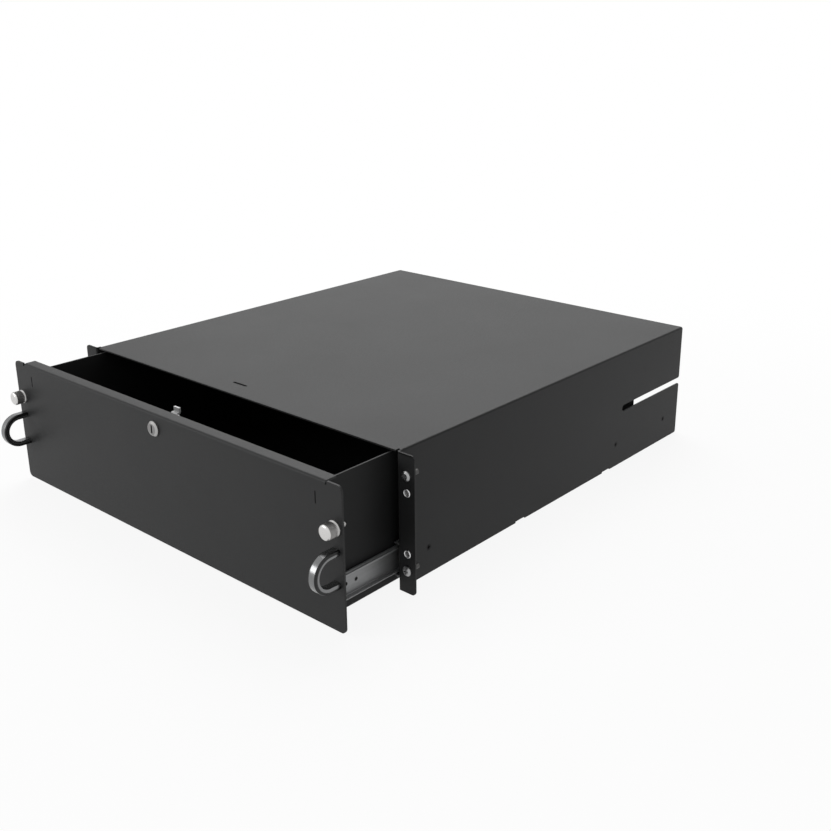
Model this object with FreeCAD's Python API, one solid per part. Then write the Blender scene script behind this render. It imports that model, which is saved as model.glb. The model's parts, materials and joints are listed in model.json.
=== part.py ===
import FreeCAD, Part
import math
import os

# A sliding drawer for a 19-inch equipment rack, three rack units high, drawn out part of the way.
# X runs to the right, Y to the rear and Z up. The origin is the centre of the four rack screws,
# in the plane of the ears' rear faces. Depths called p are measured back from the panel's front.

Vector = FreeCAD.Vector
ACROSS = Vector(1, 0, 0)
REARWARD = Vector(0, 1, 0)
UPWARD = Vector(0, 0, 1)

# Clearance all round between a pin, screw or plug and the hole it sits in
fit = 0.05

# Rack standard, three rack units high
panel_width = 482.6
hole_from_panel_end = 8.75
rack_screw_spacing = 88.9
insert_spacing = 57.15

# Chassis
panel_past_chassis = 18.3
panel_above_cover = 2.6
chassis_depth = 486.5
chassis_sheet = 1.5
ear_corner = 4.0
bend_inside = 1.0
corner_relief = 1.5
ear_root_length = 4.0
rear_slot_length = 126.2
rear_slot_height = 7.0
rear_slot_level = 65.4
rear_corner = 2.5
edge_notch_length = 15.4
edge_notch_depth = 1.5
edge_notch_first = 175.9
edge_notch_pitch = 157.0
edge_notch_count = 2

# Front panel
panel_height = 130.4
panel_sheet = 1.9
panel_lift = 2.4
panel_corner = 5.0
panel_bend_inside = 0.8
flange_depth = 12.5
flange_past_chassis = 0.3
flange_notch_width = 2.0
flange_notch_depth = 0.5

# Drawer
closed_gap = 5.0
rest_opening = 78.7
drawer_rear_space = 4.5
drawer_sheet = 1.2
drawer_lift = 1.9
drawer_top_space = 3.7
front_lip_height = 15.0
front_lip_inset = 8.0
back_flange_length = 15.0
back_lowering = 1.0
tab_length = 10.6
tab_below_panel_top = 12.2
tab_clearance = 0.1
tab_recess = 0.5

# Ball slides
slide_space = 9.2
slide_level = 26.0
slide_setback = 2.0
slide_rear_space = 25.6
rail_sheet = 1.2
rail_bend_inside = 0.6
ball_radius = 2.0
ball_clearance = 0.05
ball_height = 13.4
race_half_angle = 35.0
race_root_bend = 1.2
lip_reach = 8.0
cage_sheet = 0.7
cage_offset = 2.05
cage_lip_reach = 4.95
cage_length = 126.0
cage_end_margin = 2.0
balls_per_row = 6
cage_window_length = 12.0
cage_window_height = 13.0
stop_height = 1.3
stop_width = 12.0
stop_thickness = 1.0
stop_setback = 0.6
bumper_length = 5.4
bumper_height = 20.0
bumper_reach = 5.6
bumper_gap = 0.5
bumper_round = 1.2
bumper_peg_radius = 1.5

# Slide screws
slide_screw_radius = 1.9
slide_screw_flat_head_radius = 3.2
slide_screw_flat_head_depth = 1.3
slide_screw_pan_head_radius = 3.5
slide_screw_pan_head_height = 1.8
front_cabinet_screw_setback = 38.5
middle_cabinet_screw_from_end = 110.1
rear_cabinet_screw_from_end = 6.9
drawer_screw_from_end = 18.7
drawer_screw_pitch = 160.0
drawer_screw_count = 3
spare_hole_radius = 1.8
spare_hole_setback = 20.0
spare_hole_pitch = 12.0

# Rack screws and ear inserts
rack_screw_radius = 2.45
rack_screw_length = 14.0
rack_screw_head_radius = 4.6
rack_screw_head_height = 2.7
rack_screw_crown_radius = 2.8
rack_screw_hole_clearance = 1.25
insert_bore_clearance = 0.075
insert_radius = 3.8
insert_length = 6.0
recess_width = 1.1
recess_share = 0.55
recess_depth = 1.5

# Captive thumbscrews
thumb_knob_radius = 6.9
thumb_stick_out = 11.8
thumb_knob_chamfer = 0.8
thumb_seat_gap = 0.2
thumb_top_thickness = 2.1
skirt_clearance = 0.3
ferrule_rim_radius = 7.1
ferrule_rim_height = 2.4
ferrule_rim_round = 1.0
ferrule_barrel_radius = 4.7
ferrule_barrel_gap = 0.3
ferrule_lip_thickness = 1.0
ferrule_spigot_radius = 4.55
ferrule_swage_radius = 5.2
ferrule_swage_height = 0.4
thumb_thread_radius = 2.5
thumb_neck_radius = 2.4
thumb_groove_radius = 2.0
thumb_reach = 11.0
thumb_point_length = 1.2
neck_clearance = 0.2
ring_radius = 3.4
ring_thickness = 0.8
ring_side_clearance = 0.1
ring_gap_width = 1.5
chamber_clearance = 0.2

# Pull handles
handle_level = 60.2
handle_from_panel_end = 7.9
handle_width = 8.6
handle_thickness = 5.5
handle_round = 1.3
handle_height = 35.0
handle_reach = 27.4
handle_screw_radius = 1.3
handle_screw_depth = 7.0
handle_hole_depth = 8.0
handle_screw_head_radius = 2.8
handle_screw_head_height = 2.0

# Cam lock
lock_below_cover = 11.6
lock_head_radius = 7.4
lock_face_radius = 5.9
lock_head_height = 3.0
lock_barrel_radius = 6.0
lock_barrel_flat = 5.2
lock_barrel_length = 22.3
lock_nut_flat = 8.0
lock_nut_thickness = 2.8
plug_radius = 4.4
plug_collar_radius = 5.4
plug_collar_height = 0.6
plug_stem_half = 2.5
keyway_width = 2.1
keyway_height = 7.8
keyway_depth = 9.0
cam_sheet = 2.0
cam_gap = 0.1
cam_hub_radius = 6.0
cam_tip_left = 8.6
cam_tip_right = 0.4
cam_step_height = 6.0
cam_step_back = 4.1
cam_bend_inside = 0.5
cam_slot_length = 20.0
cam_slot_right = 0.4
cam_slot_clearance = 0.5
cam_top_engagement = 1.2
cam_screw_radius = 1.5
cam_screw_depth = 5.0
cam_screw_hole_depth = 6.0
cam_screw_head_radius = 3.6
cam_screw_head_height = 1.9

# How near a point lies to an edge that it picks out, and the shortest run that is drawn
nearness = 0.01
shortest_run = 1e-6

# Places that follow from the sizes
overall_height = panel_lift + panel_height
chassis_bottom = -overall_height / 2
panel_bottom = chassis_bottom + panel_lift
panel_top = panel_bottom + panel_height
chassis_top = panel_top - panel_above_cover
chassis_height = chassis_top - chassis_bottom
upper_screw_z = rack_screw_spacing / 2
lower_screw_z = -upper_screw_z
upper_insert_z = insert_spacing / 2
lower_insert_z = -upper_insert_z
rack_hole_x = panel_width / 2 - hole_from_panel_end

chassis_width = panel_width - 2 * panel_past_chassis
ear_end = panel_width / 2
ear_front = -chassis_sheet
chassis_rear = ear_front + chassis_depth
panel_front = ear_front - closed_gap - rest_opening
panel_back = panel_front + panel_sheet

wall_inside_x = chassis_width / 2 - chassis_sheet
drawer_wall_x = wall_inside_x - slide_space
drawer_inside_x = drawer_wall_x - drawer_sheet
drawer_bottom = chassis_bottom + drawer_lift
drawer_top = chassis_top - drawer_top_space
drawer_rear = chassis_rear - drawer_rear_space - rest_opening

slide_z = chassis_bottom + slide_level
cabinet_rail_front = slide_setback
cabinet_rail_rear = chassis_rear - slide_rear_space
bumper_front = cabinet_rail_rear - bumper_length
slide_length = bumper_front - bumper_gap - cabinet_rail_front
slide_travel = slide_length - cage_length - 2 * cage_end_margin
drawer_rail_front = cabinet_rail_front - rest_opening
drawer_rail_rear = drawer_rail_front + slide_length
cage_open_front = cabinet_rail_front + stop_setback + stop_thickness + cage_end_margin
cage_front = cage_open_front + (slide_travel - rest_opening) / 2

lock_z = chassis_top - lock_below_cover
handle_z = chassis_bottom + handle_level
handle_x = panel_width / 2 - handle_from_panel_end
barrel_end = panel_sheet + lock_barrel_length
cam_front = barrel_end + cam_gap
cam_tip_middle = cam_front + cam_step_back + cam_sheet / 2
cam_tip_top = chassis_top - chassis_sheet + cam_top_engagement
cam_slot_y = ear_front - closed_gap + cam_tip_middle


# Helpers

def box(x_low, x_high, y_low, y_high, z_low, z_high):
    return Part.makeBox(
        x_high - x_low, y_high - y_low, z_high - z_low, Vector(x_low, y_low, z_low))


def rod_along_y(radius, x, z, y_low, y_high):
    return Part.makeCylinder(radius, y_high - y_low, Vector(x, y_low, z), REARWARD)


def rod_along_x(radius, y, z, x_low, x_high):
    return Part.makeCylinder(radius, x_high - x_low, Vector(x_low, y, z), ACROSS)


def rod_along_z(radius, x, y, z_low, z_high):
    return Part.makeCylinder(radius, z_high - z_low, Vector(x, y, z_low), UPWARD)


def joined(shapes):
    first, rest = shapes[0], shapes[1:]
    return first.fuse(rest).removeSplitter() if rest else first


def mirrored(shape):
    return shape.mirror(Vector(0, 0, 0), ACROSS)


def turned(profile, x, z):
    """Revolve (radius, y) points about the line through (x, z) that runs along Y."""
    corners = [Vector(x + radius, y, z) for radius, y in profile]
    face = Part.Face(Part.makePolygon(corners + corners[:1]))
    return face.revolve(Vector(x, 0, z), REARWARD, 360)


def edges_along(shape, direction, places):
    """Straight edges of the shape that run along the direction through one of the places."""
    found = []
    for edge in shape.Edges:
        if not isinstance(edge.Curve, Part.Line):
            continue
        start = edge.Vertexes[0].Point
        run = edge.Vertexes[-1].Point - start
        if run.cross(direction).Length > shortest_run * run.Length:
            continue
        for place in places:
            away = place - start
            if away.cross(direction).Length < nearness:
                found.append(edge)
                break
    return found


def strip_side(corners, radii, normal, offset):
    """Points of one side of a bent strip: its start, three to an arc at each bend, its end."""
    heading = (corners[1] - corners[0]).normalize()
    points = [corners[0] + normal.cross(heading) * offset]
    for index in range(1, len(corners) - 1):
        here = corners[index]
        arriving = (here - corners[index - 1]).normalize()
        side = normal.cross(arriving)
        leaving = (corners[index + 1] - here).normalize()
        turn = math.atan2(arriving.cross(leaving).dot(normal), arriving.dot(leaving))
        sign = math.copysign(1, turn)
        radius = radii[index - 1]
        setback = radius * math.tan(abs(turn) / 2)
        centre = here - arriving * setback + side * sign * radius
        arc_start = here - arriving * setback + side * offset
        arc_end = here + leaving * setback + normal.cross(leaving) * offset
        arc_middle = centre + (here - centre).normalize() * (radius - sign * offset)
        points += [arc_start, arc_middle, arc_end]
    heading = (corners[-1] - corners[-2]).normalize()
    points.append(corners[-1] + normal.cross(heading) * offset)
    return points


def side_edges(points):
    """Straight runs and arcs through the points of one side; runs of no length are left out."""
    edges = []
    for index in range(0, len(points) - 1, 3):
        edges += straight(points[index], points[index + 1])
    for index in range(1, len(points) - 2, 3):
        edges.append(Part.Arc(points[index], points[index + 1], points[index + 2]).toShape())
    return edges


def straight(start, end):
    if start.distanceToPoint(end) < shortest_run:
        return []
    return [Part.LineSegment(start, end).toShape()]


def bent_strip(corners, radii, normal, thickness):
    """Face of a sheet of even thickness, bent along the centreline through the corners."""
    half = thickness / 2
    left = strip_side(corners, radii, normal, half)
    right = strip_side(corners, radii, normal, -half)
    edges = side_edges(left) + side_edges(right)
    edges += straight(left[0], right[0]) + straight(left[-1], right[-1])
    return Part.Face(Part.Wire(Part.__sortEdges__(edges)))


def folded_sheet(corners, inside_radius, normal, thickness, run):
    """Sheet-metal fold: every bend has the same inside radius, and run is the extrusion."""
    radii = [inside_radius + thickness / 2 for bend in corners[1:-1]]
    return bent_strip(corners, radii, normal, thickness).extrude(run)


def cross_recess(x, z, y):
    """Cutting tool for a cross recess in a screw head whose top is at y."""
    reach = rack_screw_head_radius * recess_share
    half = recess_width / 2
    return box(x - reach, x + reach, y, y + recess_depth, z - half, z + half).fuse(
        box(x - half, x + half, y, y + recess_depth, z - reach, z + reach))


# Chassis

def side_slot():
    """The slot in the right wall, open to the rear, with a round front end."""
    half = rear_slot_height / 2
    level = chassis_bottom + rear_slot_level
    x_low = wall_inside_x - chassis_sheet
    x_high = wall_inside_x + 2 * chassis_sheet
    y_front = chassis_rear - rear_slot_length + half
    run = box(x_low, x_high, y_front, chassis_rear + chassis_sheet, level - half, level + half)
    return run.fuse(rod_along_x(half, y_front, level, x_low, x_high))


def chassis_ear():
    """Right ear and the bend that joins it to the side wall."""
    x_wall = chassis_width / 2 - chassis_sheet / 2
    y_ear = ear_front + chassis_sheet / 2
    corners = [Vector(x_wall, ear_root_length, chassis_bottom),
               Vector(x_wall, y_ear, chassis_bottom),
               Vector(ear_end, y_ear, chassis_bottom)]
    ear = folded_sheet(
        corners, bend_inside, UPWARD, chassis_sheet, Vector(0, 0, chassis_height))
    outer = [Vector(ear_end, 0, z) for z in (chassis_bottom, chassis_top)]
    ear = ear.makeFillet(ear_corner, edges_along(ear, REARWARD, outer))
    for z in (lower_screw_z, upper_screw_z):
        hole_radius = rack_screw_radius + rack_screw_hole_clearance
        ear = ear.cut(rod_along_y(hole_radius, rack_hole_x, z, 2 * ear_front, chassis_sheet))
    for z in (lower_insert_z, upper_insert_z):
        hole_radius = insert_radius + fit
        ear = ear.cut(rod_along_y(hole_radius, rack_hole_x, z, 2 * ear_front, chassis_sheet))
    return ear


def cam_slot():
    """Slot in the cover that the lock's cam turns up into."""
    half = cam_sheet / 2 + cam_slot_clearance
    x_low = cam_slot_right - cam_slot_length
    z_low = chassis_top - 2 * chassis_sheet
    z_high = chassis_top + chassis_sheet
    run = box(x_low + half, cam_slot_right - half,
              cam_slot_y - half, cam_slot_y + half, z_low, z_high)
    ends = [rod_along_z(half, x, cam_slot_y, z_low, z_high)
            for x in (x_low + half, cam_slot_right - half)]
    return run.fuse(ends)


def cabinet_screw_places():
    return [ear_front + front_cabinet_screw_setback,
            cabinet_rail_rear - middle_cabinet_screw_from_end,
            cabinet_rail_rear - rear_cabinet_screw_from_end]


def drawer_screw_places():
    last = drawer_rail_rear - drawer_screw_from_end
    return [last - index * drawer_screw_pitch for index in range(drawer_screw_count)]


def spare_hole_places():
    first = drawer_rail_front + spare_hole_setback
    return [first, first + spare_hole_pitch]


def flat_screw_shape(y, grow):
    """Flat screw from the right wall's outer face to the inner face of the slide's web."""
    head_x = chassis_width / 2
    shank_end = wall_inside_x - rail_sheet
    head = Part.makeCone(
        slide_screw_flat_head_radius + grow, slide_screw_radius + grow,
        slide_screw_flat_head_depth, Vector(head_x, y, slide_z), Vector(-1, 0, 0))
    shank = rod_along_x(slide_screw_radius + grow, y, slide_z, shank_end, head_x)
    return head.fuse(shank)


def chassis_shell():
    x_wall = chassis_width / 2 - chassis_sheet / 2
    z_cover = chassis_top - chassis_sheet / 2
    corners = [Vector(-x_wall, ear_root_length, chassis_bottom),
               Vector(-x_wall, ear_root_length, z_cover),
               Vector(x_wall, ear_root_length, z_cover),
               Vector(x_wall, ear_root_length, chassis_bottom)]
    wrap = folded_sheet(corners, bend_inside, REARWARD, chassis_sheet,
                        Vector(0, chassis_rear - ear_root_length, 0))
    tongue_x = wall_inside_x - bend_inside - corner_relief
    tongue = box(-tongue_x, tongue_x, ear_front + chassis_sheet, ear_root_length,
                 chassis_top - chassis_sheet, chassis_top)
    ear = chassis_ear()
    shell = joined([wrap, tongue, ear, mirrored(ear)])
    slot = side_slot()
    tools = [slot, mirrored(slot), cam_slot()]
    first_notch = ear_front + edge_notch_first
    for index in range(edge_notch_count):
        middle = first_notch + index * edge_notch_pitch
        tools.append(box(-chassis_width, chassis_width, middle - edge_notch_length / 2,
                         middle + edge_notch_length / 2, chassis_bottom - edge_notch_depth,
                         chassis_bottom + edge_notch_depth))
    for y in cabinet_screw_places():
        tool = flat_screw_shape(y, fit)
        tools += [tool, mirrored(tool)]
    shell = shell.cut(tools)
    half = rear_slot_height / 2
    level = chassis_bottom + rear_slot_level
    rounded = []
    for x in (-chassis_width / 2, chassis_width / 2):
        for z in (level - half, level + half, chassis_bottom):
            rounded.append(Vector(x, chassis_rear, z))
    return shell.makeFillet(rear_corner, edges_along(shell, ACROSS, rounded))


def ear_insert(x, z):
    """Threaded insert, flush with the ear's front, its barrel reaching back past the ear."""
    bore = thumb_thread_radius + insert_bore_clearance
    rear = ear_front + insert_length
    profile = [(bore, ear_front), (insert_radius, ear_front), (insert_radius, rear), (bore, rear)]
    return turned(profile, x, z)


def ear_inserts():
    return [ear_insert(x, z) for x in (-rack_hole_x, rack_hole_x)
            for z in (lower_insert_z, upper_insert_z)]


def rack_screw(x, z):
    """Pan-head screw through an ear, with a cross recess."""
    top = ear_front - rack_screw_head_height
    shoulder = ear_front - rack_screw_head_height / 2
    tip = ear_front + rack_screw_length
    point = rack_screw_radius / 2
    profile = [(0, top), (rack_screw_crown_radius, top), (rack_screw_head_radius, shoulder),
               (rack_screw_head_radius, ear_front), (rack_screw_radius, ear_front),
               (rack_screw_radius, tip - point), (rack_screw_radius - point, tip), (0, tip)]
    return turned(profile, x, z).cut(cross_recess(x, z, top))


def rack_screws():
    return [rack_screw(x, z) for x in (-rack_hole_x, rack_hole_x)
            for z in (lower_screw_z, upper_screw_z)]


# Ball slides, drawn for the right side: a is the distance in from the chassis wall

def slide_point(a, b, y):
    return Vector(wall_inside_x - a, y, slide_z + b)


def upper_lip(web_a, outward):
    """Corners (a, b) and bend radii of an upper lip, from the web to the tip.

    The lip bends round the ball's centre: over it for outward 1, under it for outward -1.
    """
    angle = math.radians(race_half_angle)
    ball_a = slide_space / 2
    away = math.copysign(1, ball_a - web_a)
    race = ball_radius + ball_clearance + rail_sheet / 2
    slope = race * math.tan(angle) + race_root_bend * math.tan(angle / 2)
    root_distance = away * slope * math.cos(angle)
    apex_b = ball_height + outward * race / math.cos(angle)
    lip_b = apex_b - outward * slope * math.sin(angle)
    corners = [(web_a, lip_b), (ball_a - root_distance, lip_b), (ball_a, apex_b)]
    radii = [rail_bend_inside + rail_sheet / 2, race_root_bend, race]
    if outward > 0:
        corners += [(ball_a + root_distance, lip_b), (lip_reach, lip_b)]
        return corners, radii + [race_root_bend]
    tip_b = ball_height + outward * race * math.cos(angle)
    return corners + [(ball_a + away * race * math.sin(angle), tip_b)], radii


def rail_profile(web_a, outward, y):
    """Channel section with a ball race in each lip, as a bent strip."""
    upper, upper_radii = upper_lip(web_a, outward)
    path = list(reversed(upper)) + [(a, -b) for a, b in upper]
    corners = [slide_point(a, b, y) for a, b in path]
    radii = list(reversed(upper_radii)) + upper_radii
    return bent_strip(corners, radii, REARWARD, rail_sheet)


def cabinet_rail():
    """Outer member, fixed to the chassis wall, with a lanced stop at its front end."""
    web_a = rail_sheet / 2
    run = Vector(0, cabinet_rail_rear - cabinet_rail_front, 0)
    rail = rail_profile(web_a, 1, cabinet_rail_front).extrude(run)
    stop_front = cabinet_rail_front + stop_setback
    stop = box(wall_inside_x - rail_sheet - stop_height, wall_inside_x - rail_sheet,
               stop_front, stop_front + stop_thickness,
               slide_z - stop_width / 2, slide_z + stop_width / 2)
    rail = joined([rail, stop])
    holes = [flat_screw_shape(y, fit) for y in cabinet_screw_places()]
    holes.append(rod_along_x(bumper_peg_radius + fit, bumper_peg_y(), slide_z,
                             wall_inside_x - 2 * rail_sheet, wall_inside_x))
    return rail.cut(holes)


def drawer_rail():
    """Inner member, fixed to the drawer wall, with spare holes near its front end."""
    web_a = slide_space - rail_sheet / 2
    run = Vector(0, slide_length, 0)
    rail = rail_profile(web_a, -1, drawer_rail_front).extrude(run)
    x_low = drawer_wall_x - rail_sheet
    x_high = drawer_wall_x + 2 * rail_sheet
    holes = [rod_along_x(spare_hole_radius, y, slide_z, x_low, x_high)
             for y in spare_hole_places()]
    holes += [rod_along_x(slide_screw_radius + fit, y, slide_z, x_low, x_high)
              for y in drawer_screw_places()]
    return rail.cut(holes)


def ball_depths():
    pitch = cage_length / balls_per_row
    return [cage_front + pitch / 2 + index * pitch for index in range(balls_per_row)]


def ball_cage():
    """Strip that holds both rows of balls, with windows between them in its web."""
    lip_a = cage_offset + cage_lip_reach
    path = [(lip_a, ball_height), (cage_offset, ball_height),
            (cage_offset, -ball_height), (lip_a, -ball_height)]
    corners = [slide_point(a, b, cage_front) for a, b in path]
    cage = folded_sheet(
        corners, rail_bend_inside, REARWARD, cage_sheet, Vector(0, cage_length, 0))
    ball_x = wall_inside_x - slide_space / 2
    holes = [rod_along_z(ball_radius + ball_clearance, ball_x, y,
                         slide_z - ball_height - ball_radius, slide_z + ball_height + ball_radius)
             for y in ball_depths()]
    half_height = cage_window_height / 2
    for y in ball_depths():
        holes.append(box(wall_inside_x - 2 * cage_offset, wall_inside_x,
                         y - cage_window_length / 2, y + cage_window_length / 2,
                         slide_z - half_height, slide_z + half_height))
    return cage.cut(holes)


def slide_balls():
    ball_x = wall_inside_x - slide_space / 2
    return [Part.makeSphere(ball_radius, Vector(ball_x, y, slide_z + b))
            for y in ball_depths() for b in (-ball_height, ball_height)]


def bumper_peg_y():
    return bumper_front + bumper_length / 2


def rail_bumper():
    """Soft closing stop between the lips of the outer member, pegged through its web."""
    web_face = wall_inside_x - rail_sheet
    half = bumper_height / 2
    body = box(web_face - bumper_reach, web_face, bumper_front, cabinet_rail_rear,
               slide_z - half, slide_z + half)
    nose = [Vector(web_face, bumper_front, z) for z in (slide_z - half, slide_z + half)]
    body = body.makeFillet(bumper_round, edges_along(body, ACROSS, nose))
    peg = rod_along_x(bumper_peg_radius, bumper_peg_y(), slide_z, web_face, wall_inside_x)
    return body.fuse(peg).removeSplitter()


def cabinet_rail_screws():
    right = []
    reach = slide_screw_flat_head_radius * recess_share
    half = recess_width / 2
    x_high = chassis_width / 2
    x_low = x_high - recess_width
    for y in cabinet_screw_places():
        screw = flat_screw_shape(y, 0)
        slots = [box(x_low, x_high, y - reach, y + reach, slide_z - half, slide_z + half),
                 box(x_low, x_high, y - half, y + half, slide_z - reach, slide_z + reach)]
        right.append(screw.cut(slots))
    return right + [mirrored(screw) for screw in right]


def drawer_rail_screw(y):
    """Pan-head screw from inside the drawer, ending in the inner member's web."""
    half_head = slide_screw_pan_head_height / 2
    shoulder_x = drawer_inside_x - half_head
    head = rod_along_x(slide_screw_pan_head_radius, y, slide_z, shoulder_x, drawer_inside_x)
    crown = Part.makeCone(
        slide_screw_pan_head_radius, slide_screw_pan_head_radius - half_head, half_head,
        Vector(shoulder_x, y, slide_z), ACROSS * -1)
    shank = rod_along_x(slide_screw_radius, y, slide_z, drawer_inside_x, drawer_wall_x + rail_sheet)
    return joined([head, crown, shank])


def drawer_rail_screws():
    right = [drawer_rail_screw(y) for y in drawer_screw_places()]
    return right + [mirrored(screw) for screw in right]


# Drawer box

def panel_tab_z():
    top = panel_top - tab_below_panel_top
    return top - tab_length, top


def drawer_tray():
    """Floor and side walls in one folded sheet, with a front lip and two panel tabs."""
    half_sheet = drawer_sheet / 2
    x_wall = drawer_wall_x - half_sheet
    z_floor = drawer_bottom + half_sheet
    lip_root = panel_back + 2 * bend_inside + 2 * drawer_sheet
    corners = [Vector(-x_wall, panel_back, drawer_top), Vector(-x_wall, panel_back, z_floor),
               Vector(x_wall, panel_back, z_floor), Vector(x_wall, panel_back, drawer_top)]
    tray = folded_sheet(corners, bend_inside, REARWARD * -1, drawer_sheet,
                        Vector(0, drawer_rear - panel_back, 0))
    lip_x = drawer_inside_x - front_lip_inset
    tray = tray.cut(box(-lip_x - corner_relief, lip_x + corner_relief, panel_back - drawer_sheet,
                        lip_root, drawer_bottom - drawer_sheet, drawer_bottom + 2 * drawer_sheet))
    lip_corners = [Vector(-lip_x, lip_root, z_floor),
                   Vector(-lip_x, panel_back + half_sheet, z_floor),
                   Vector(-lip_x, panel_back + half_sheet, z_floor + front_lip_height)]
    lip = folded_sheet(lip_corners, bend_inside, ACROSS, drawer_sheet, Vector(2 * lip_x, 0, 0))
    tab_low, tab_high = panel_tab_z()
    tab = box(drawer_inside_x, drawer_wall_x, panel_front + tab_recess, panel_back,
              tab_low, tab_high)
    tray = joined([tray, lip, tab, mirrored(tab)])
    holes = []
    for y in drawer_screw_places():
        hole = rod_along_x(slide_screw_radius + fit, y, slide_z,
                           drawer_inside_x - drawer_sheet, drawer_wall_x + drawer_sheet)
        holes += [hole, mirrored(hole)]
    return tray.cut(holes)


def drawer_back():
    """Rear wall, with side flanges that lie against the side walls."""
    half_sheet = drawer_sheet / 2
    x_flange = drawer_inside_x - half_sheet
    y_wall = drawer_rear - half_sheet
    z_low = drawer_bottom + drawer_sheet + bend_inside
    corners = [Vector(-x_flange, y_wall - back_flange_length, z_low),
               Vector(-x_flange, y_wall, z_low), Vector(x_flange, y_wall, z_low),
               Vector(x_flange, y_wall - back_flange_length, z_low)]
    height = drawer_top - back_lowering - z_low
    back = folded_sheet(corners, bend_inside, UPWARD, drawer_sheet, Vector(0, 0, height))
    foot_x = drawer_inside_x - front_lip_inset
    foot = box(-foot_x, foot_x, drawer_rear - drawer_sheet, drawer_rear,
               drawer_bottom + drawer_sheet, z_low)
    return joined([back, foot])


def front_panel():
    """Flat panel with a rear-pointing top flange between two relief notches."""
    half_sheet = panel_sheet / 2
    bend_outside = panel_bend_inside + panel_sheet
    half_flange = chassis_width / 2 + flange_past_chassis
    ear_inner = half_flange + flange_notch_width
    notch_floor = panel_top - bend_outside - flange_notch_depth
    plate = box(-panel_width / 2, panel_width / 2, panel_front, panel_back,
                panel_bottom, notch_floor)
    ear = box(ear_inner, panel_width / 2, panel_front, panel_back, notch_floor, panel_top)
    corners = [Vector(-half_flange, panel_front + half_sheet, notch_floor),
               Vector(-half_flange, panel_front + half_sheet, panel_top - half_sheet),
               Vector(-half_flange, panel_front + flange_depth, panel_top - half_sheet)]
    flange = folded_sheet(
        corners, panel_bend_inside, ACROSS, panel_sheet, Vector(2 * half_flange, 0, 0))
    panel = joined([plate, ear, mirrored(ear), flange])
    rounded = []
    for x in (-panel_width / 2, panel_width / 2):
        for z in (panel_bottom, panel_top):
            rounded.append(Vector(x, panel_front, z))
    panel = panel.makeFillet(panel_corner, edges_along(panel, REARWARD, rounded))
    y_low = panel_front - panel_sheet
    y_high = panel_back + panel_sheet
    tools = [lock_hole_tool(y_low, y_high)]
    tab_low, tab_high = panel_tab_z()
    slit = box(drawer_inside_x - tab_clearance, drawer_wall_x + tab_clearance, y_low, y_high,
               tab_low - tab_clearance, tab_high + tab_clearance)
    ferrule_hole = rod_along_y(
        ferrule_spigot_radius + fit, rack_hole_x, upper_insert_z, y_low, y_high)
    right = [slit, ferrule_hole]
    for z in handle_leg_levels():
        right.append(rod_along_y(handle_screw_radius + fit, handle_x, z, y_low, y_high))
    tools += right + [mirrored(tool) for tool in right]
    return panel.cut(tools)


# Pull handles

def handle_leg_levels():
    half = (handle_height - handle_thickness) / 2
    return handle_z - half, handle_z + half


def pull_handle():
    """Flat bar with rounded edges, bent to a U, its two ends tapped for the screws."""
    half_width = handle_width / 2
    half_thick = handle_thickness / 2
    low_z, high_z = handle_leg_levels()
    bend_radius = (high_z - low_z) / 2
    leg_front = panel_front - (handle_reach - half_thick - bend_radius)
    blank = box(handle_x - half_width, handle_x + half_width,
                leg_front, panel_front, high_z - half_thick, high_z + half_thick)
    long_edges = [Vector(handle_x + dx, panel_front, high_z + dz)
                  for dx in (-half_width, half_width) for dz in (-half_thick, half_thick)]
    upper = blank.makeFillet(handle_round, edges_along(blank, REARWARD, long_edges))
    lower = upper.copy()
    lower.translate(Vector(0, 0, low_z - high_z))
    end_faces = [face for face in upper.Faces
                 if abs(face.BoundBox.YMax - leg_front) < nearness]
    bend = end_faces[0].revolve(Vector(0, leg_front, handle_z), ACROSS, 180)
    bar = joined([upper, bend, lower])
    holes = [rod_along_y(handle_screw_radius + fit, handle_x, z,
                         panel_front - handle_hole_depth, panel_front)
             for z in (low_z, high_z)]
    return bar.cut(holes)


def handle_screw(x, z):
    """Pan-head screw from behind the panel into a handle leg."""
    tip = panel_front - handle_screw_depth
    head_top = panel_back + handle_screw_head_height
    crown = handle_screw_head_radius - handle_screw_head_height / 2
    profile = [(0, tip), (handle_screw_radius, tip), (handle_screw_radius, panel_back),
               (handle_screw_head_radius, panel_back),
               (handle_screw_head_radius, panel_back + handle_screw_head_height / 2),
               (crown, head_top), (0, head_top)]
    return turned(profile, x, z)


def handle_screws():
    return [handle_screw(x, z) for x in (-handle_x, handle_x)
            for z in handle_leg_levels()]


# Cam lock

def flatted_rod(radius, flat, y_low, y_high):
    """Round bar along the lock's axis with two side flats."""
    rod = rod_along_y(radius, 0, lock_z, y_low, y_high)
    return rod.common(box(-flat, flat, y_low, y_high, lock_z - radius, lock_z + radius))


def lock_hole_tool(y_low, y_high):
    return flatted_rod(lock_barrel_radius + fit, lock_barrel_flat + fit, y_low, y_high)


def lock_body():
    """Barrel with side flats and a tapered head, bored for the plug."""
    face_y = panel_front - lock_head_height
    taper_start = panel_front - lock_head_height / 2
    head = turned([(0, face_y), (lock_face_radius, face_y), (lock_head_radius, taper_start),
                   (lock_head_radius, panel_front), (0, panel_front)], 0, lock_z)
    barrel_rear = panel_front + barrel_end
    barrel = flatted_rod(lock_barrel_radius, lock_barrel_flat, panel_front, barrel_rear)
    bore = plug_radius + fit
    recess = plug_collar_radius + fit
    body = joined([head, barrel])
    body = body.cut(rod_along_y(bore, 0, lock_z, face_y - panel_sheet, barrel_rear + panel_sheet))
    return body.cut(rod_along_y(recess, 0, lock_z, face_y - panel_sheet,
                                face_y + plug_collar_height + fit))


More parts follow.
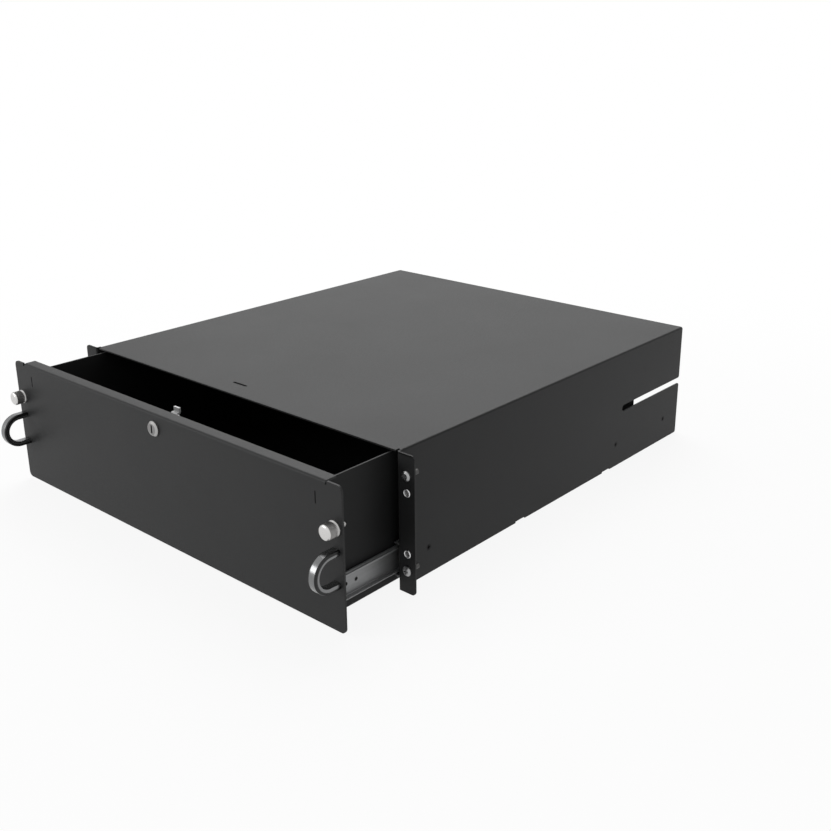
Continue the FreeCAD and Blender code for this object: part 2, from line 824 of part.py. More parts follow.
def lock_nut():
    """Hexagon nut that clamps the barrel behind the panel, a flat side up."""
    y_low = panel_back
    corner = lock_nut_flat / math.cos(math.radians(30))
    corners = []
    for index in range(6):
        angle = math.radians(60 * index)
        corners.append(Vector(corner * math.cos(angle), y_low, lock_z + corner * math.sin(angle)))
    nut = Part.Face(Part.makePolygon(corners + corners[:1])).extrude(
        Vector(0, lock_nut_thickness, 0))
    return nut.cut(lock_hole_tool(y_low - panel_sheet, y_low + 2 * lock_nut_thickness))


def lock_plug():
    """Turning plug with a keyway at the front and a square stem for the cam at the rear."""
    face_y = panel_front - lock_head_height
    stem_start = panel_front + cam_front
    profile = [(0, face_y), (plug_collar_radius, face_y),
               (plug_collar_radius, face_y + plug_collar_height),
               (plug_radius, face_y + plug_collar_height), (plug_radius, stem_start),
               (0, stem_start)]
    plug = turned(profile, 0, lock_z)
    stem = box(-plug_stem_half, plug_stem_half, stem_start, stem_start + cam_sheet,
               lock_z - plug_stem_half, lock_z + plug_stem_half)
    plug = joined([plug, stem])
    keyway = box(-keyway_width / 2, keyway_width / 2, face_y, face_y + keyway_depth,
                 lock_z - keyway_height / 2, lock_z + keyway_height / 2)
    screw_hole = rod_along_y(cam_screw_radius + fit, 0, lock_z,
                             stem_start + cam_sheet - cam_screw_hole_depth,
                             stem_start + cam_sheet)
    return plug.cut([keyway, screw_hole])


def lock_cam():
    """Cranked plate: a round hub, an arm up to the step, and a tip set back and to the left."""
    half_sheet = cam_sheet / 2
    y_hub = panel_front + cam_front + half_sheet
    y_tip = panel_front + cam_tip_middle
    z_step = lock_z + cam_step_height
    bend_radius = cam_bend_inside + half_sheet
    corners = [Vector(-cam_tip_left, y_hub, lock_z), Vector(-cam_tip_left, y_hub, z_step),
               Vector(-cam_tip_left, y_tip, z_step), Vector(-cam_tip_left, y_tip, cam_tip_top)]
    strip = bent_strip(corners, [bend_radius, bend_radius], ACROSS, cam_sheet)
    arm = strip.extrude(Vector(cam_tip_left - cam_tip_right, 0, 0))
    hub = rod_along_y(cam_hub_radius, 0, lock_z, y_hub - half_sheet, y_hub + half_sheet)
    cam = joined([arm, hub])
    stem = plug_stem_half + fit
    return cam.cut(box(-stem, stem, y_hub - cam_sheet, y_hub + cam_sheet,
                       lock_z - stem, lock_z + stem))


def cam_screw():
    """Pan-head screw that holds the cam on the plug's stem."""
    seat = panel_front + cam_front + cam_sheet
    head_top = seat + cam_screw_head_height
    crown = cam_screw_head_radius - cam_screw_head_height / 2
    profile = [(0, seat - cam_screw_depth), (cam_screw_radius, seat - cam_screw_depth),
               (cam_screw_radius, seat), (cam_screw_head_radius, seat),
               (cam_screw_head_radius, seat + cam_screw_head_height / 2), (crown, head_top),
               (0, head_top)]
    screw = turned(profile, 0, lock_z)
    half = recess_width / 2
    reach = cam_screw_head_radius * recess_share
    return screw.cut(box(-reach, reach, head_top - recess_width, head_top,
                         lock_z - half, lock_z + half))


# Captive thumbscrews, drawn for the right side

def ferrule():
    """Sleeve swaged into the panel; its front lip keeps the screw's ring inside."""
    rim_front = panel_front - ferrule_rim_height
    skirt_floor = panel_front - thumb_stick_out + thumb_top_thickness
    barrel_front = skirt_floor + ferrule_barrel_gap
    lip_back = barrel_front + ferrule_lip_thickness
    tail = panel_back + ferrule_swage_height
    chamber = ring_radius + chamber_clearance
    profile = [(thumb_neck_radius + neck_clearance, barrel_front),
               (ferrule_barrel_radius, barrel_front), (ferrule_barrel_radius, rim_front),
               (ferrule_rim_radius - ferrule_rim_round, rim_front),
               (ferrule_rim_radius, rim_front + ferrule_rim_round),
               (ferrule_rim_radius, panel_front), (ferrule_spigot_radius, panel_front),
               (ferrule_spigot_radius, panel_back), (ferrule_swage_radius, panel_back),
               (ferrule_spigot_radius, tail), (chamber, tail), (chamber, lip_back),
               (thumb_neck_radius + neck_clearance, lip_back)]
    return turned(profile, rack_hole_x, upper_insert_z)


def thumbscrew():
    """Knob, neck, ring groove and thread, turned in one piece."""
    top = panel_front - thumb_stick_out
    skirt_floor = top + thumb_top_thickness
    skirt_end = panel_front - ferrule_rim_height - thumb_seat_gap
    groove_start = panel_front - ring_side_clearance
    groove_end = panel_front + ring_thickness + ring_side_clearance
    tip = panel_front + thumb_reach
    skirt_bore = ferrule_barrel_radius + skirt_clearance
    point = thumb_thread_radius - thumb_groove_radius
    profile = [(0, top), (thumb_knob_radius - thumb_knob_chamfer, top),
               (thumb_knob_radius, top + thumb_knob_chamfer), (thumb_knob_radius, skirt_end),
               (skirt_bore, skirt_end), (skirt_bore, skirt_floor),
               (thumb_neck_radius, skirt_floor), (thumb_neck_radius, groove_start),
               (thumb_groove_radius, groove_start), (thumb_groove_radius, groove_end),
               (thumb_thread_radius, groove_end), (thumb_thread_radius, tip - thumb_point_length),
               (thumb_thread_radius - point, tip), (0, tip)]
    return turned(profile, rack_hole_x, upper_insert_z)


def retaining_ring():
    """Split ring in the screw's groove."""
    bore = thumb_groove_radius + fit
    front = panel_front
    back = front + ring_thickness
    ring = turned([(bore, front), (ring_radius, front), (ring_radius, back), (bore, back)],
                  rack_hole_x, upper_insert_z)
    half = ring_gap_width / 2
    return ring.cut(box(rack_hole_x - half, rack_hole_x + half, front, back,
                        upper_insert_z - ring_radius, upper_insert_z))


def both_sides(name, shapes):
    return {"right_" + name: shapes, "left_" + name: [mirrored(shape) for shape in shapes]}


def all_nodes():
    nodes = {
        "chassis_shell": [chassis_shell()],
        "ear_inserts": ear_inserts(),
        "rack_screws": rack_screws(),
        "cabinet_rail_screws": cabinet_rail_screws(),
        "front_panel": [front_panel()],
        "drawer_tray": [drawer_tray()],
        "drawer_back": [drawer_back()],
        "drawer_rail_screws": drawer_rail_screws(),
        "handle_screws": handle_screws(),
        "lock_body": [lock_body()],
        "lock_nut": [lock_nut()],
        "lock_plug": [lock_plug()],
        "lock_cam": [lock_cam()],
        "cam_screw": [cam_screw()],
    }
    nodes.update(both_sides("cabinet_rail", [cabinet_rail()]))
    nodes.update(both_sides("rail_bumper", [rail_bumper()]))
    nodes.update(both_sides("ball_cage", [ball_cage()]))
    nodes.update(both_sides("balls", slide_balls()))
    nodes.update(both_sides("drawer_rail", [drawer_rail()]))
    nodes.update(both_sides("handle", [pull_handle()]))
    nodes.update(both_sides("ferrule", [ferrule()]))
    nodes.update(both_sides("thumbscrew", [thumbscrew()]))
    nodes.update(both_sides("retaining_ring", [retaining_ring()]))
    return nodes


def export_nodes(nodes):
    os.makedirs("parts", exist_ok=True)
    for name, shapes in nodes.items():
        shape = shapes[0] if len(shapes) == 1 else Part.makeCompound(shapes)
        shape.exportStep("parts/" + name + ".step")
        volume = sum(solid.Volume for solid in shape.Solids)
        print(name, len(shape.Solids), "solids", round(volume, 1), "mm3", shape.isValid())


export_nodes(all_nodes())
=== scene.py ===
import json
import math

import bmesh
import bpy
from mathutils import Matrix, Vector


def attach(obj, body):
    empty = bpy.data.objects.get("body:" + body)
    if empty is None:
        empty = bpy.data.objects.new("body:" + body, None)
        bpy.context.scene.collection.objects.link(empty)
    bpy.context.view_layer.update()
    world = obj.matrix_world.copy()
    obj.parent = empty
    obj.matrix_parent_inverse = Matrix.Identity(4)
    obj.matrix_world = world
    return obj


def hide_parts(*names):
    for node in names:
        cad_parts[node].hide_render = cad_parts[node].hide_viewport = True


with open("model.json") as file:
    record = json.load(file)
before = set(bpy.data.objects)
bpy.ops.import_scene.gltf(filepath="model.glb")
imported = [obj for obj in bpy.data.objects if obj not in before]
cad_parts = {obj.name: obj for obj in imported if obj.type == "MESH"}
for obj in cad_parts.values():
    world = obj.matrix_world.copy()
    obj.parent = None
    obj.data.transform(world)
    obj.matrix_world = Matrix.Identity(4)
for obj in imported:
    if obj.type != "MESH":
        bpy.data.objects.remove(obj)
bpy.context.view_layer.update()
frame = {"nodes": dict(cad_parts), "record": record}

# A black steel drawer for a 19-inch rack, drawn out a little way. Lengths are in millimetres
# where they are written, and MM turns them into metres. Depths are behind the panel's front.
# Lamps and the camera are placed in metres.
MM = 0.001


def node_box(node):
    """The low and the high corner of a CAD node at rest, in millimetres."""
    places = [vertex.co / MM for vertex in frame["nodes"][node].data.vertices]
    return [Vector([pick(place[axis] for place in places) for axis in range(3)])
            for pick in (min, max)]


def joint_place(name):
    """The point that a turning joint's axis has on the panel's front, in millimetres."""
    joints = {joint["name"]: joint for joint in frame["record"]["behaviour"]["joints"]}
    return [coordinate / MM for coordinate in joints[name]["pos_m"]]


SCREW_X, PANEL_FRONT, SCREW_Z = joint_place("right_screw_turn")
LOCK_X, _, LOCK_Z = joint_place("lock_turn")
SHELL_LOW, SHELL_HIGH = node_box("chassis_shell")
EAR_FRONT = SHELL_LOW.y
FLOOR_Z = SHELL_LOW.z
COVER_TOP_Z = SHELL_HIGH.z
DRAWER_TOP_Z = node_box("drawer_tray")[1].z
# The flat screws of the cabinet rails end flush with the side walls' outer faces
SIDE_WALL_X = node_box("cabinet_rail_screws")[1].x

# The front of each pull is half a ring, seen from the side
HANDLE_LOW, HANDLE_HIGH = node_box("right_handle")
HANDLE_X, _, HANDLE_Z = (HANDLE_LOW + HANDLE_HIGH) / 2
HANDLE_RADIUS = (HANDLE_HIGH.z - HANDLE_LOW.z) / 2
HANDLE_BEND_Y = HANDLE_LOW.y + HANDLE_RADIUS

# The fluted band of a thumbscrew's knob
KNOB_RADIUS = 6.9
FLUTE_FRONT = -10.3
FLUTE_REAR = -3.6

IMAGE_SIDE = 831


# Shader maths

class Value:
    """A socket that joins in Python arithmetic; each operation adds a Math node."""

    def __init__(self, finish, socket):
        self.finish = finish
        self.socket = socket

    def maths(self, operation, *others):
        return self.finish.number(operation, self, *others)

    def __add__(self, other):
        return self.maths("ADD", other)

    def __radd__(self, other):
        return self.maths("ADD", other)

    def __sub__(self, other):
        return self.maths("SUBTRACT", other)

    def __rsub__(self, other):
        return self.finish.number("SUBTRACT", other, self)

    def __mul__(self, other):
        return self.maths("MULTIPLY", other)

    def __rmul__(self, other):
        return self.maths("MULTIPLY", other)

    def __truediv__(self, other):
        return self.maths("DIVIDE", other)

    def size(self):
        return self.maths("ABSOLUTE")

    def root(self):
        return self.maths("SQRT")

    def between(self, low, high):
        """0 below low and 1 above high, with a smooth step between."""
        return self.finish.node(
            "ShaderNodeMapRange", {"interpolation_type": "SMOOTHSTEP"},
            {"Value": self, "From Min": low, "From Max": high})


class Finish:
    """The nodes of a material or of the world, which owns them."""

    def __init__(self, owner):
        self.owner = owner
        self.owner.use_nodes = True
        self.tree = self.owner.node_tree
        self.tree.nodes.clear()

    def node(self, kind, settings, inputs, output=0):
        """Add a node: its settings first, then a value or a link for each input."""
        added = self.tree.nodes.new(kind)
        for name, setting in settings.items():
            setattr(added, name, setting)
        for name, value in inputs.items():
            socket = added.inputs[name]
            if isinstance(value, Value):
                self.tree.links.new(value.socket, socket)
            else:
                socket.default_value = value
        return Value(self, added.outputs[output]) if added.outputs else None

    def number(self, operation, *values):
        return self.node("ShaderNodeMath", {"operation": operation}, dict(enumerate(values)))

    def vector(self, operation, first, second, output=0):
        return self.node("ShaderNodeVectorMath", {"operation": operation},
                         {0: first, 1: second}, output)

    def mix(self, share, first, second):
        """Colour that goes from first to second; the node's colours are its inputs 6 and 7."""
        return self.node("ShaderNodeMix", {"data_type": "RGBA"},
                         {0: share, 6: first, 7: second}, 2)

    def place(self):
        return self.node("ShaderNodeTexCoord", {}, {}, "Object")

    def axes(self):
        """The object's X, Y and Z, each as a value."""
        return [self.node("ShaderNodeSeparateXYZ", {}, {0: self.place()}, axis)
                for axis in range(3)]

    def stretched(self, scale):
        return self.node("ShaderNodeMapping", {}, {"Vector": self.place(), "Scale": scale})

    def noise(self, size_mm, detail, roughness, along=(1, 1, 1)):
        """Noise from 0 to 1 whose grains are about size_mm across, drawn out along an axis."""
        scale = tuple(1 / (size_mm * MM * length) for length in along)
        return self.node("ShaderNodeTexNoise", {},
                         {"Vector": self.stretched(scale), "Scale": 1.0, "Detail": detail,
                          "Roughness": roughness})

    def soft_edge(self, radius_mm):
        return self.node("ShaderNodeBevel", {"samples": 4}, {"Radius": radius_mm * MM})

    def edge_mask(self, radius_mm):
        """1 on a sharp edge, fading to 0 on the flat within the radius."""
        flat = self.node("ShaderNodeNewGeometry", {}, {}, "Normal")
        alike = self.vector("DOT_PRODUCT", self.soft_edge(radius_mm), flat, "Value")
        return (1 - alike).between(0.02, 0.35)

    def bump(self, height, depth_mm, under, strength):
        inputs = {"Height": height, "Distance": depth_mm * MM, "Strength": strength}
        if under:
            inputs["Normal"] = under
        return self.node("ShaderNodeBump", {}, inputs)

    def surface(self, colour, roughness, metallic, normal, **fixed):
        inputs = {"Base Color": colour, "Roughness": roughness, "Metallic": metallic,
                  "Normal": normal}
        inputs.update({name.replace("_", " "): value for name, value in fixed.items()})
        shader = self.node("ShaderNodeBsdfPrincipled", {}, inputs)
        self.node("ShaderNodeOutputMaterial", {}, {"Surface": shader})
        return self.owner


def new_finish(name):
    return Finish(bpy.data.materials.new(name))


def grey(level, warmth=0.0):
    return level * (1 + warmth), level, level * (1 - warmth), 1


# Finishes

def powder_coat(name, level, roughness, gloss, painted_bend_shade=False, painted_rim_highlight=False):
    """Black baked paint: fine pebbled skin, slow drift in gloss, thinner and paler on edges.

    The line is painted shade along the two bends beside the cover, standing for the dark
    they reflect, and the rim is a painted highlight along the upper edge of the drawer.
    """
    coat = new_finish(name)
    skin = coat.noise(0.8, 2.0, 0.5)
    drift = coat.noise(90, 3.0, 0.5)
    fleck = coat.noise(1.6, 2.0, 0.6)
    wear_and_highlight_patches = coat.noise(14, 4.0, 0.65)
    worn = coat.edge_mask(0.5) * wear_and_highlight_patches.between(0.42, 0.7)
    base = coat.mix(drift.between(0.3, 0.7), grey(level * 0.9, -0.02), grey(level * 1.1, -0.01))
    base = coat.mix(fleck.between(0.55, 0.8) * 0.35, base, grey(level * 1.5, -0.02))
    x, _, z = coat.axes()
    # Painted shade: a dark line along the bends beside the cover, standing for the dark they
    # reflect
    if painted_bend_shade:
        beside = (x.size() / MM).between(SIDE_WALL_X - 1.6, SIDE_WALL_X - 0.9)
        above = (z / MM).between(COVER_TOP_Z - 1.8, COVER_TOP_Z - 1.1)
        base = coat.mix(beside * above * 0.8, base, grey(level * 0.15))
    else:
        base = coat.mix(worn * 0.6, base, grey(level * 3.2))
    # Painted highlight: a lighter line along the upper edge of the drawer, patchy with the same
    # noise as the edge wear
    if painted_rim_highlight:
        rim = (z / MM).between(DRAWER_TOP_Z - 0.5, DRAWER_TOP_Z - 0.2)
        base = coat.mix(rim * (0.7 + 0.3 * wear_and_highlight_patches), base, grey(0.075))
    rough = roughness + (drift - 0.5) * 0.12 + (fleck - 0.5) * 0.12 - worn * 0.1
    rough = rough + (skin - 0.5) * 0.14
    normal = coat.bump(skin, 0.09, coat.soft_edge(0.35), 0.8)
    return coat.surface(base, rough, 0.0, normal, Specular_IOR_Level=gloss)


def drawn_zinc(name, tone, roughness):
    """Bright zinc on rolled strip: streaks along the slide, faint bloom, rubbed edges."""
    zinc = new_finish(name)
    streak = zinc.noise(0.35, 2.0, 0.6, (1, 90, 1))
    wide_streak = zinc.noise(2.2, 2.0, 0.5, (1, 60, 1))
    bloom = zinc.noise(11, 4.0, 0.6)
    stain = bloom.between(0.55, 0.75)
    base = zinc.mix(wide_streak, grey(tone * 0.86, -0.015), grey(tone * 1.06, -0.01))
    base = zinc.mix(stain * 0.35, base, grey(tone * 0.74, 0.02))
    base = zinc.mix(zinc.edge_mask(0.3) * 0.5, base, grey(tone * 1.25))
    rough = roughness + (streak - 0.5) * 0.18 + stain * 0.1
    normal = zinc.bump(streak, 0.012, zinc.soft_edge(0.25), 0.7)
    return zinc.surface(base, rough, 0.75, normal)


def turned_nickel(name, tone, roughness, centre_x, centre_z, fluted=False):
    """Satin nickel with fine lathe rings about an axis that runs front to back.

    The fluted band of a knob is darker, in clouds.
    """
    nickel = new_finish(name)
    x, y, z = nickel.axes()
    across = x.size() - centre_x * MM
    up = z - centre_z * MM
    radius = (across * across + up * up).root()
    ring = nickel.node("ShaderNodeTexNoise", {"noise_dimensions": "1D"},
                       {"W": radius / (0.14 * MM) + y / (0.3 * MM), "Scale": 1.0, "Detail": 2.0})
    cloud = nickel.noise(2.4, 3.0, 0.55)
    base = nickel.mix(ring, grey(tone * 0.93, 0.012), grey(tone * 1.05, 0.016))
    base = nickel.mix(cloud.between(0.6, 0.8) * 0.3, base, grey(tone * 0.78, 0.03))
    rough = roughness + (ring - 0.5) * 0.14 + (cloud - 0.5) * 0.08
    if fluted:
        depth = (y - PANEL_FRONT * MM) / MM
        band = (radius / MM).between(KNOB_RADIUS - 0.9, KNOB_RADIUS - 0.5)
        band = band * depth.between(FLUTE_FRONT - 0.6, FLUTE_FRONT)
        band = band * (1 - depth.between(FLUTE_REAR, FLUTE_REAR + 0.2))
        base = nickel.mix(band * (0.6 + 0.35 * cloud), base, grey(tone * 0.22, 0.03))
        rough = rough + band * 0.12
    normal = nickel.bump(ring, 0.012, nickel.soft_edge(0.15), 0.8)
    return nickel.surface(base, rough, 1.0, normal)


def chrome_marks(chrome):
    """Cloudy haze and hairline scratches, each from 0 to 1."""
    return chrome.noise(6, 4.0, 0.6), chrome.noise(0.25, 1.0, 0.5, (30, 1, 1))


def handle_chrome(name, tone):
    """Chrome on the pulls: soft haze, and a painted dark reflection along each outer rounded
    edge.
    """
    chrome = new_finish(name)
    x, y, z = chrome.axes()
    across = (x.size() / MM - HANDLE_X).size()
    ahead = chrome.number("MINIMUM", y / MM - HANDLE_BEND_Y, 0.0)
    up = z / MM - HANDLE_Z
    radius = (ahead * ahead + up * up).root()
    # Painted reflection: a near-black line along each outer rounded edge, where the dark panel
    # would be reflected
    painted_dark_reflection = across.between(2.6, 3.2) * radius.between(HANDLE_RADIUS - 3.0, HANDLE_RADIUS - 2.2)
    haze, hairline = chrome_marks(chrome)
    base = chrome.mix(haze, grey(tone * 0.9, -0.01), grey(tone * 1.08, -0.012))
    base = chrome.mix(painted_dark_reflection * (0.8 + 0.15 * haze), base, grey(0.012))
    rough = 0.24 + haze.between(0.45, 0.75) * 0.1 + painted_dark_reflection * 0.1
    return chrome.surface(base, rough, 1.0, chrome.bump(hairline, 0.003, None, 0.4))


def polished_steel(name, tone):
    """Polished steel with a trace of haze and hairline scratches."""
    steel = new_finish(name)
    haze, hairline = chrome_marks(steel)
    base = steel.mix(haze, grey(tone * 0.94, -0.01), grey(tone * 1.04, -0.012))
    rough = 0.14 + haze.between(0.45, 0.75) * 0.09 + hairline.between(0.62, 0.7) * 0.1
    return steel.surface(base, rough, 1.0, steel.bump(hairline, 0.003, None, 0.4))


def mottled_zinc(zinc, tone):
    """The soft mottle of barrel-plated zinc, and its colour with tumbled, brighter edges."""
    mottle = zinc.noise(1.3, 3.0, 0.6)
    base = zinc.mix(mottle, grey(tone * 0.85, -0.02), grey(tone * 1.08, 0.01))
    return mottle, zinc.mix(zinc.edge_mask(0.2) * 0.6, base, grey(min(tone * 1.3, 0.92)))


def zinc_plate(name, tone, roughness, metallic=1.0):
    """Small plated parts, with the fine dents of tumbling."""
    zinc = new_finish(name)
    mottle, base = mottled_zinc(zinc, tone)
    rough = roughness + (mottle - 0.5) * 0.16
    tumble = zinc.bump(zinc.noise(0.2, 2.0, 0.5), 0.008, zinc.soft_edge(0.15), 0.6)
    return zinc.surface(base, rough, metallic, tumble)


def ear_hardware(name, tone, roughness):
    """Zinc fastener in an ear: bright in front, with painted shade behind the sheet."""
    zinc = new_finish(name)
    mottle, base = mottled_zinc(zinc, tone)
    _, y, _ = zinc.axes()
    # Painted shade: darker, rougher zinc behind the ear's sheet, where these parts sit in shadow
    painted_shade_behind = (y / MM).between(-0.7, 0.7)
    base = zinc.mix(painted_shade_behind * 0.9, base, grey(0.05, 0.03))
    rough = roughness + (mottle - 0.5) * 0.16 + painted_shade_behind * 0.15
    return zinc.surface(base, rough, 1.0, zinc.bump(mottle, 0.008, zinc.soft_edge(0.15), 0.6))


def blackened_steel(name):
    """Black oxide on small screws, with an oily mottle."""
    steel = new_finish(name)
    mottle = steel.noise(0.8, 3.0, 0.6)
    base = steel.mix(mottle, grey(0.009), grey(0.018))
    rough = 0.5 + (mottle - 0.5) * 0.2
    normal = steel.bump(mottle, 0.01, steel.soft_edge(0.1), 0.5)
    return steel.surface(base, rough, 0.0, normal, Specular_IOR_Level=0.11)


def moulded_nylon(name):
    """Black nylon with a fine spark-eroded grain."""
    nylon = new_finish(name)
    grain = nylon.noise(0.3, 2.0, 0.6)
    cloud = nylon.noise(4, 2.0, 0.5)
    base = nylon.mix(cloud, grey(0.018), grey(0.03))
    rough = 0.5 + (grain - 0.5) * 0.15
    return nylon.surface(base, rough, 0.0, nylon.bump(grain, 0.02, nylon.soft_edge(0.2), 0.6))


def finishes():
    """The finish of each node; the ear inserts and thumbscrews are made anew with theirs."""
    drawer_coat = powder_coat("drawer_powder_coat", 0.015, 0.5, 0.13, painted_rim_highlight=True)
    small_zinc = zinc_plate("plated_zinc", 0.42, 0.36)
    dull_zinc = zinc_plate("dull_zinc", 0.26, 0.42)
    rail = drawn_zinc("drawn_zinc_rail", 0.27, 0.47)
    by_node = {
        "chassis_shell": powder_coat("chassis_powder_coat", 0.021, 0.46, 0.155, painted_bend_shade=True),
        "front_panel": powder_coat("black_powder_coat", 0.024, 0.46, 0.17),
        "drawer_tray": drawer_coat, "drawer_back": drawer_coat,
        "ear_inserts": ear_hardware("insert_zinc", 0.8, 0.3),
        "rack_screws": ear_hardware("rack_screw_zinc", 0.36, 0.34),
        "cabinet_rail_screws": blackened_steel("blackened_screw"),
        "drawer_rail_screws": small_zinc, "handle_screws": small_zinc,
        "lock_body": turned_nickel("lock_nickel", 0.40, 0.32, LOCK_X, LOCK_Z),
        "lock_nut": dull_zinc,
        "lock_plug": turned_nickel("plug_nickel", 0.22, 0.34, LOCK_X, LOCK_Z),
        "lock_cam": zinc_plate("chalky_zinc", 0.5, 0.45, 0.3),
        "cam_screw": dull_zinc,
    }
    sided = {
        "cabinet_rail": rail, "drawer_rail": rail, "ball_cage": small_zinc,
        "balls": polished_steel("ball_steel", 0.7), "rail_bumper": moulded_nylon("bumper_nylon"),
        "handle": handle_chrome("handle_chrome", 0.2),
        "thumbscrew": turned_nickel("thumbscrew_nickel", 0.62, 0.30, SCREW_X, SCREW_Z,
                                    fluted=True),
        "ferrule": turned_nickel("ferrule_nickel", 0.44, 0.34, SCREW_X, SCREW_Z),
        "retaining_ring": small_zinc,
    }
    for side in ("left_", "right_"):
        by_node.update({side + name: finish for name, finish in sided.items()})
    return by_node


# Pieces

def keep(mesh, name, finish, body):
    """Turn a finished mesh into a piece that rides on a body of the model."""
    bmesh.ops.remove_doubles(mesh, verts=mesh.verts, dist=0.001 * MM)
    bmesh.ops.recalc_face_normals(mesh, faces=mesh.faces)
    data = bpy.data.meshes.new(name)
    mesh.to_mesh(data)
    mesh.free()
    data.materials.append(finish)
    piece = bpy.data.objects.new(name, data)
    bpy.context.scene.collection.objects.link(piece)
    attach(piece, body)
    return piece


def shade_round(data, degrees):
    """Smooth shading that stops at edges sharper than the given angle."""
    shape = bmesh.new()
    shape.from_mesh(data)
    for face in shape.faces:
        face.smooth = True
    for edge in shape.edges:
        edge.smooth = edge.calc_face_angle(0) < math.radians(degrees)
    shape.to_mesh(data)
    shape.free()


def rounded_copy(node, finish, body):
    """A merged copy of a CAD node, shaded round, that stands for the node."""
    shape = bmesh.new()
    shape.from_mesh(frame["nodes"][node].data)
    piece = keep(shape, node + "_dressed", finish, body)
    shade_round(piece.data, 32)
    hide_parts(node)


def lathe(mesh, profile, x, z, steps):
    """Spin (radius, depth) points about an axis that runs front to back."""
    centre = Vector((x, 0, z)) * MM
    points = [mesh.verts.new(centre + Vector((radius, PANEL_FRONT + depth, 0)) * MM)
              for radius, depth in profile]
    edges = [mesh.edges.new(pair) for pair in zip(points, points[1:])]
    bmesh.ops.spin(mesh, geom=points + edges, cent=centre, axis=(0, 1, 0), dvec=(0, 0, 0),
                   angle=math.tau, steps=steps, use_merge=True, use_duplicate=False)


def thread(mesh, crest, root, pitch, start, end, x, z):
    """A helical ridge from depth start to depth end."""
    centre = Vector((x, 0, z)) * MM
    steps_a_turn = 20
    steps = round(steps_a_turn * (end - start) / pitch)
    half_root, half_crest = 0.46 * pitch, 0.07 * pitch
    corners = [(root, -half_root), (root, half_root), (crest, half_crest), (crest, -half_crest)]
    points = [mesh.verts.new(centre + Vector((radius, PANEL_FRONT + start + along, 0)) * MM)
              for radius, along in corners]
    bmesh.ops.spin(mesh, geom=[mesh.faces.new(points)], cent=centre, axis=(0, 1, 0),
                   dvec=Vector((0, pitch / steps_a_turn, 0)) * MM,
                   angle=math.tau * steps / steps_a_turn, steps=steps, use_merge=False,
                   use_duplicate=False)


def flute_knob(mesh, x, z, teeth, depth):
    """Press straight flutes into the band of a turned knob."""
    centre = Vector((x, 0, z)) * MM
    slack = 0.1
    grooves = []
    for vertex in mesh.verts:
        place = (vertex.co - centre) / MM
        behind = place.y - PANEL_FRONT
        on_band = FLUTE_FRONT - slack <= behind <= FLUTE_REAR + slack
        if on_band and math.hypot(place.x, place.z) > KNOB_RADIUS - slack:
            step = round(math.atan2(place.z, place.x) / math.tau * 2 * teeth)
            if step % 2:
                grooves.append(vertex)
    share = (KNOB_RADIUS - depth) / KNOB_RADIUS
    bmesh.ops.scale(mesh, vec=(share, 1, share), verts=grooves, space=Matrix.Translation(-centre))


def thumbscrew(side, finish):
    """Fluted knob with a hollow skirt, thin neck and threaded shank."""
    x = SCREW_X if side == "right" else -SCREW_X
    teeth = 40
    mesh = bmesh.new()
    face = [(0, -11.8), (5.0, -11.8), (5.3, -11.7), (5.9, -11.5), (6.4, -11.1), (6.75, -10.5)]
    band = [(KNOB_RADIUS, FLUTE_FRONT), (KNOB_RADIUS, FLUTE_REAR)]
    skirt = [(6.75, -3.3), (6.5, -2.8), (6.2, -2.6), (5.2, -2.6), (5.0, -2.8), (5.0, -9.7)]
    neck = [(2.4, -9.7), (2.4, -0.1), (2.0, -0.1), (2.0, 0.9)]
    shank = [(2.12, 0.9), (2.12, 9.9), (1.7, 10.7), (1.5, 11.0), (0, 11.0)]
    lathe(mesh, face + band + skirt + neck + shank, x, SCREW_Z, 2 * teeth)
    flute_knob(mesh, x, SCREW_Z, teeth, 0.32)
    thread(mesh, 2.5, 2.08, 0.8, 1.5, 9.8, x, SCREW_Z)
    piece = keep(mesh, side + "_thumbscrew_turned", finish, side + "_screw")
    shade_round(piece.data, 28)
    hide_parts(side + "_thumbscrew")


def ear_inserts(finish):
    """Four threaded inserts in the ears; each has a rounded rim in front."""
    mesh = bmesh.new()
    front = EAR_FRONT - PANEL_FRONT
    rim = [(2.62, 6.0), (2.62, 0.0), (2.7, -0.35), (2.95, -0.62), (3.25, -0.7), (3.55, -0.55),
           (3.75, -0.25), (3.8, 0.0), (3.8, 6.0)]
    ring = [(radius, front + depth) for radius, depth in rim + rim[:1]]
    for x in (-SCREW_X, SCREW_X):
        for z in (-SCREW_Z, SCREW_Z):
            lathe(mesh, ring, x, z, 32)
    piece = keep(mesh, "ear_inserts_turned", finish, "chassis")
    shade_round(piece.data, 35)
    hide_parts("ear_inserts")


def dress():
    """Give every node of the model its finish; round ones get a smooth-shaded copy."""
    by_node = finishes()
    bodies = frame["record"]["behaviour"]["bodies"]
    body_of = {node: body for body, nodes in bodies.items() for node in nodes}
    for side in ("left", "right"):
        thumbscrew(side, by_node.pop(side + "_thumbscrew"))
    ear_inserts(by_node.pop("ear_inserts"))
    for node, finish in by_node.items():
        rounded_copy(node, finish, body_of[node])


# Room, lights and camera

def seen_as_backdrop(finish):
    """1 for the rays that look at the room directly or by way of metal and glass."""
    camera, glossy, through = (
        finish.node("ShaderNodeLightPath", {}, {}, name)
        for name in ("Is Camera Ray", "Is Glossy Ray", "Is Transmission Ray"))
    return finish.number("MINIMUM", camera + glossy + through, 1.0)


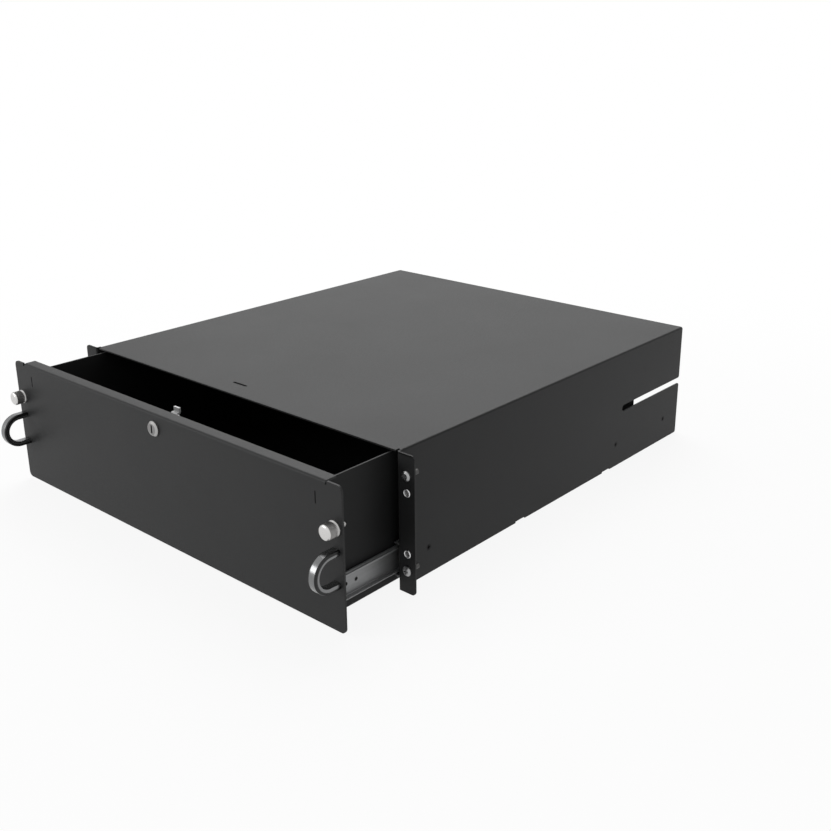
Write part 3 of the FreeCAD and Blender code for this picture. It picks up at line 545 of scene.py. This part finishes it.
def studio_floor():
    """Pale floor that keeps a soft shadow near the drawer and fades to white beyond it."""
    mesh = bmesh.new()
    bmesh.ops.create_grid(mesh, x_segments=1, y_segments=1, size=40,
                          matrix=Matrix.Translation((0, 0, FLOOR_Z * MM)))
    data = bpy.data.meshes.new("studio_floor")
    mesh.to_mesh(data)
    mesh.free()
    floor = bpy.data.objects.new("studio_floor", data)
    bpy.context.scene.collection.objects.link(floor)
    paint = new_finish("pale_floor")
    x, y, _ = paint.axes()
    back = y - 0.2
    away = (x * x + back * back).root()
    grain = paint.noise(40, 2.0, 0.5)
    card = paint.node("ShaderNodeBsdfDiffuse", {}, {
        "Color": paint.mix(grain, grey(0.88), grey(0.92))})
    white = paint.node("ShaderNodeEmission", {}, {"Color": grey(1.0), "Strength": 1.0})
    share = seen_as_backdrop(paint) * (0.9 + 0.1 * away.between(0.5, 1.1))
    seen = paint.node("ShaderNodeMixShader", {}, {0: share, 1: card, 2: white})
    paint.node("ShaderNodeOutputMaterial", {}, {"Surface": seen})
    data.materials.append(paint.owner)


def room_light(level):
    """Even white room: plain white to look at, softer as a light."""
    bpy.context.scene.world = bpy.data.worlds.new("studio_room")
    room = Finish(bpy.context.scene.world)
    strength = level + seen_as_backdrop(room) * (1.0 - level)
    sky = room.node("ShaderNodeBackground", {}, {"Color": grey(1.0), "Strength": strength})
    room.node("ShaderNodeOutputWorld", {}, {"Surface": sky})


def softbox(name, place, aim, width, height, watts):
    light = bpy.data.lights.new(name, "AREA")
    light.shape = "RECTANGLE"
    light.size = width
    light.size_y = height
    light.energy = watts
    lamp = bpy.data.objects.new(name, light)
    bpy.context.scene.collection.objects.link(lamp)
    lamp.location = place
    lamp.rotation_euler = (Vector(aim) - Vector(place)).to_track_quat("-Z", "Y").to_euler()


def photo_camera():
    """Camera at the photograph's place; its lens values are in pixels of the square image."""
    focal, centre_x, centre_y = 1067.94, 440.25, 378.80
    turn, tilt = 40.511, 18.993
    data = bpy.data.cameras.new("photo_camera")
    data.sensor_width = 36
    data.lens = data.sensor_width * focal / IMAGE_SIDE
    data.shift_x = (IMAGE_SIDE / 2 - centre_x) / IMAGE_SIDE
    data.shift_y = (centre_y - IMAGE_SIDE / 2) / IMAGE_SIDE
    data.clip_start = 0.02
    data.clip_end = 200
    camera = bpy.data.objects.new("photo_camera", data)
    bpy.context.scene.collection.objects.link(camera)
    camera.location = (0.78177, -0.60129, 0.40958)
    camera.rotation_euler = (math.radians(90 - tilt), 0, math.radians(turn))
    bpy.context.scene.camera = camera


dress()
studio_floor()
room_light(0.36)
softbox("overhead_softbox", (-0.9, 1.4, 2.15), (0.0, 0.2, 0.0), 2.2, 2.2, 54)
softbox("front_softbox", (-1.6, -2.1, 0.9), (0.0, -0.05, 0.0), 1.2, 1.2, 24)
photo_camera()
bpy.context.scene.view_settings.view_transform = "Standard"
